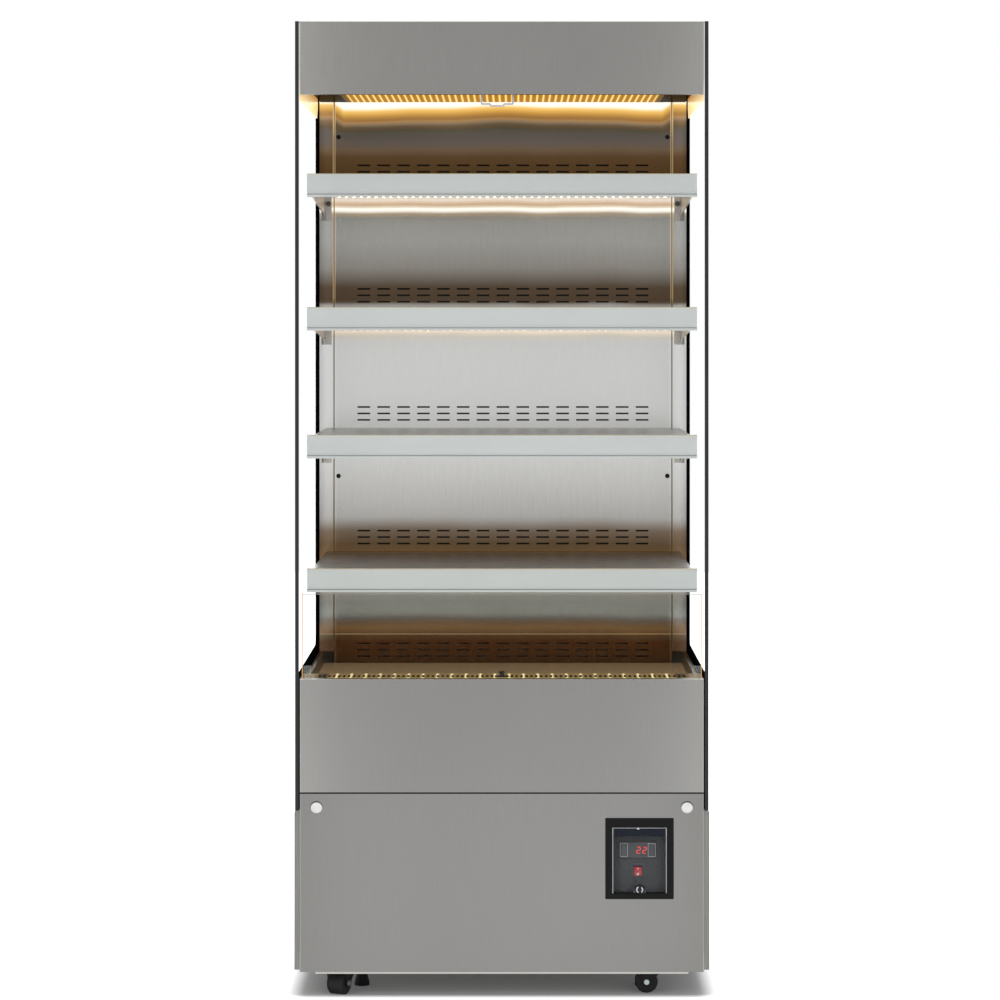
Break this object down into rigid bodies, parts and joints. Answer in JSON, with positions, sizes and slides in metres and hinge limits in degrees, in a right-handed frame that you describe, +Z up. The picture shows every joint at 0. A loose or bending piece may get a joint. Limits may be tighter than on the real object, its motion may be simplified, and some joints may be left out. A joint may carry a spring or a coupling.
{
  "type": "open-front heated display case",
  "caption": "Tall open-front heated display case with glass sides, lit shelves with price rails, a pull-down night curtain and a control box behind a clear flap.",
  "frame": {"origin": "on the floor under the middle of the case's overall width and depth", "axes": "+X to the right seen from the front, +Y to the rear, +Z up"},
  "size_m": [0.712, 0.65, 1.674],
  "materials": {
    "brushed_stainless": "fine vertical brush, satin",
    "bright_stainless": "bright brushed",
    "coated_steel": "smooth grey satin coating",
    "galvanised_steel": "galvanised sheet, dull",
    "zinc_steel": "zinc plated",
    "black_nylon": "moulded nylon",
    "black_rubber": "moulded rubber bell on a zinc rod",
    "clear_glass": "clear toughened glass, polished edges",
    "clear_plastic": "clear moulded plastic",
    "black_trim": "black extruded edge trim",
    "rail_plastic": "pale grey extrusion, satin",
    "white_plastic": "white moulded caps",
    "black_plastic": "black moulded plastic, satin",
    "red_plastic": "translucent red, lit from inside",
    "light_channel": "anodised channel of the light strip",
    "curtain_film": "reflective woven film",
    "roller_tube": "tube wound with the curtain",
    "bar_aluminium": "anodised bar",
    "white_wire": "white coated wire",
    "heater_steel": "heat darkened rod",
    "blower_aluminium": "pressed blades"
  },
  "bodies": {
    "cabinet": {"base_frame": "galvanised_steel", "lower_front_panel": "brushed_stainless", "panel_caps": "white_plastic", "upper_front_panel": "brushed_stainless", "base_sides": "coated_steel", "base_rear_panel": "galvanised_steel", "cable_gland": "black_plastic", "air_tank": "galvanised_steel", "riser_glass": "clear_glass", "riser_clips": "clear_plastic", "side_glass": "clear_glass", "glass_trims": "black_trim", "back_columns": "brushed_stainless", "slotted_back_panel": "brushed_stainless", "rear_casing": "galvanised_steel", "canopy_fascia": "brushed_stainless", "canopy_top": "brushed_stainless", "canopy_cheeks": "bright_stainless", "canopy_ceiling": "bright_stainless", "canopy_light": "light_channel", "curtain_brackets": "galvanised_steel", "curtain_sheet": "curtain_film", "shelf_brackets": "brushed_stainless", "bracket_screws": "zinc_steel", "wall_plugs": "black_plastic", "control_bezel": "black_plastic", "controller": "black_plastic", "caster_plates": "zinc_steel", "blower_housing": "galvanised_steel", "heater_elements": "heater_steel", "supply_box": "galvanised_steel"},
    "deck": {"deck_panel": "brushed_stainless"},
    "grille": {"front_grille": "brushed_stainless", "curtain_catch": "black_plastic"},
    "curtain_pull": {"curtain_bar": "bar_aluminium", "curtain_handle": "white_wire"},
    "roller": {"curtain_roller": "roller_tube"},
    "cover": {"control_cover": "clear_plastic"},
    "left_key": {"key_left": "black_plastic"},
    "right_key": {"key_right": "black_plastic"},
    "rocker": {"rocker_switch": "red_plastic"},
    "blower": {"blower_wheel": "blower_aluminium"},
    "left_foot": {"foot_left": "black_rubber"},
    "right_foot": {"foot_right": "black_rubber"},
    "shelf_1_body": {"shelf_1": "brushed_stainless", "price_rail_1": "rail_plastic"},
    "shelf_2_body": {"shelf_2": "brushed_stainless", "price_rail_2": "rail_plastic"},
    "shelf_3_body": {"shelf_3": "brushed_stainless", "price_rail_3": "rail_plastic"},
    "shelf_4_body": {"shelf_4": "brushed_stainless", "price_rail_4": "rail_plastic"},
    "fork_front_left": {"caster_fork_front_left": "zinc_steel"},
    "wheel_front_left": {"caster_wheel_front_left": "black_nylon"},
    "fork_front_right": {"caster_fork_front_right": "zinc_steel"},
    "wheel_front_right": {"caster_wheel_front_right": "black_nylon"},
    "fork_rear_left": {"caster_fork_rear_left": "zinc_steel"},
    "wheel_rear_left": {"caster_wheel_rear_left": "black_nylon"},
    "fork_rear_right": {"caster_fork_rear_right": "zinc_steel"},
    "wheel_rear_right": {"caster_wheel_rear_right": "black_nylon"}
  },
  "joints": [
    {"name": "deck_lift", "type": "slide", "parent": "cabinet", "child": "deck", "axis": [0, 0, 1], "range_m": [0, 0.08]},
    {"name": "grille_lift", "type": "slide", "parent": "deck", "child": "grille", "axis": [0, 0, 1], "range_m": [0, 0.06]},
    {"name": "curtain_slide", "type": "slide", "parent": "cabinet", "child": "curtain_pull", "axis": [0, 0, -1], "range_m": [0, 0.955], "stiffness_N_per_m": 6, "springref_m": -2, "deforming": ["curtain_sheet"]},
    {"name": "roller_turn", "type": "hinge", "parent": "cabinet", "child": "roller", "pos_m": [0, -0.257, 1.622], "axis": [1, 0, 0], "range_deg": [-10, 2600]},
    {"name": "cover_hinge", "type": "hinge", "parent": "cabinet", "child": "cover", "pos_m": [0.2355, -0.3186, 0.2926], "axis": [-1, 0, 0], "range_deg": [0, 105]},
    {"name": "left_key_press", "type": "slide", "parent": "cabinet", "child": "left_key", "axis": [0, 1, 0], "range_m": [0, 0.0006], "stiffness_N_per_m": 400, "springref_m": -0.001},
    {"name": "right_key_press", "type": "slide", "parent": "cabinet", "child": "right_key", "axis": [0, 1, 0], "range_m": [0, 0.0006], "stiffness_N_per_m": 400, "springref_m": -0.001},
    {"name": "rocker_tilt", "type": "hinge", "parent": "cabinet", "child": "rocker", "pos_m": [0.2333, -0.30275, 0.2186], "axis": [1, 0, 0], "range_deg": [-14, 0]},
    {"name": "blower_turn", "type": "hinge", "parent": "cabinet", "child": "blower", "pos_m": [0, 0.17, 0.456], "axis": [1, 0, 0], "continuous": true},
    {"name": "left_foot_screw", "type": "slide", "parent": "cabinet", "child": "left_foot", "axis": [0, 0, 1], "range_m": [-0.01, 0.012]},
    {"name": "right_foot_screw", "type": "slide", "parent": "cabinet", "child": "right_foot", "axis": [0, 0, 1], "range_m": [-0.01, 0.012]},
    {"name": "shelf_1_lift", "type": "slide", "parent": "cabinet", "child": "shelf_1_body", "axis": [0, 0, 1], "range_m": [0, 0.06]},
    {"name": "shelf_2_lift", "type": "slide", "parent": "cabinet", "child": "shelf_2_body", "axis": [0, 0, 1], "range_m": [0, 0.06]},
    {"name": "shelf_3_lift", "type": "slide", "parent": "cabinet", "child": "shelf_3_body", "axis": [0, 0, 1], "range_m": [0, 0.06]},
    {"name": "shelf_4_lift", "type": "slide", "parent": "cabinet", "child": "shelf_4_body", "axis": [0, 0, 1], "range_m": [0, 0.06]},
    {"name": "swivel_front_left", "type": "hinge", "parent": "cabinet", "child": "fork_front_left", "pos_m": [-0.272, -0.245, 0.0425], "axis": [0, 0, 1], "continuous": true},
    {"name": "wheel_spin_front_left", "type": "hinge", "parent": "fork_front_left", "child": "wheel_front_left", "pos_m": [-0.28095, -0.2651, 0.0195], "axis": [0.9135, -0.4067, 0], "continuous": true},
    {"name": "swivel_front_right", "type": "hinge", "parent": "cabinet", "child": "fork_front_right", "pos_m": [0.272, -0.245, 0.0425], "axis": [0, 0, 1], "continuous": true},
    {"name": "wheel_spin_front_right", "type": "hinge", "parent": "fork_front_right", "child": "wheel_front_right", "pos_m": [0.25, -0.245, 0.0195], "axis": [0, -1, 0], "continuous": true},
    {"name": "swivel_rear_left", "type": "hinge", "parent": "cabinet", "child": "fork_rear_left", "pos_m": [-0.272, 0.245, 0.0425], "axis": [0, 0, 1], "continuous": true},
    {"name": "wheel_spin_rear_left", "type": "hinge", "parent": "fork_rear_left", "child": "wheel_rear_left", "pos_m": [-0.272, 0.223, 0.0195], "axis": [1, 0, 0], "continuous": true},
    {"name": "swivel_rear_right", "type": "hinge", "parent": "cabinet", "child": "fork_rear_right", "pos_m": [0.272, 0.245, 0.0425], "axis": [0, 0, 1], "continuous": true},
    {"name": "wheel_spin_rear_right", "type": "hinge", "parent": "fork_rear_right", "child": "wheel_rear_right", "pos_m": [0.272, 0.223, 0.0195], "axis": [1, 0, 0], "continuous": true}
  ],
  "couplings": [
    {"joint": "roller_turn", "follows": "curtain_slide", "rad_per_m": 44.444}
  ]
}
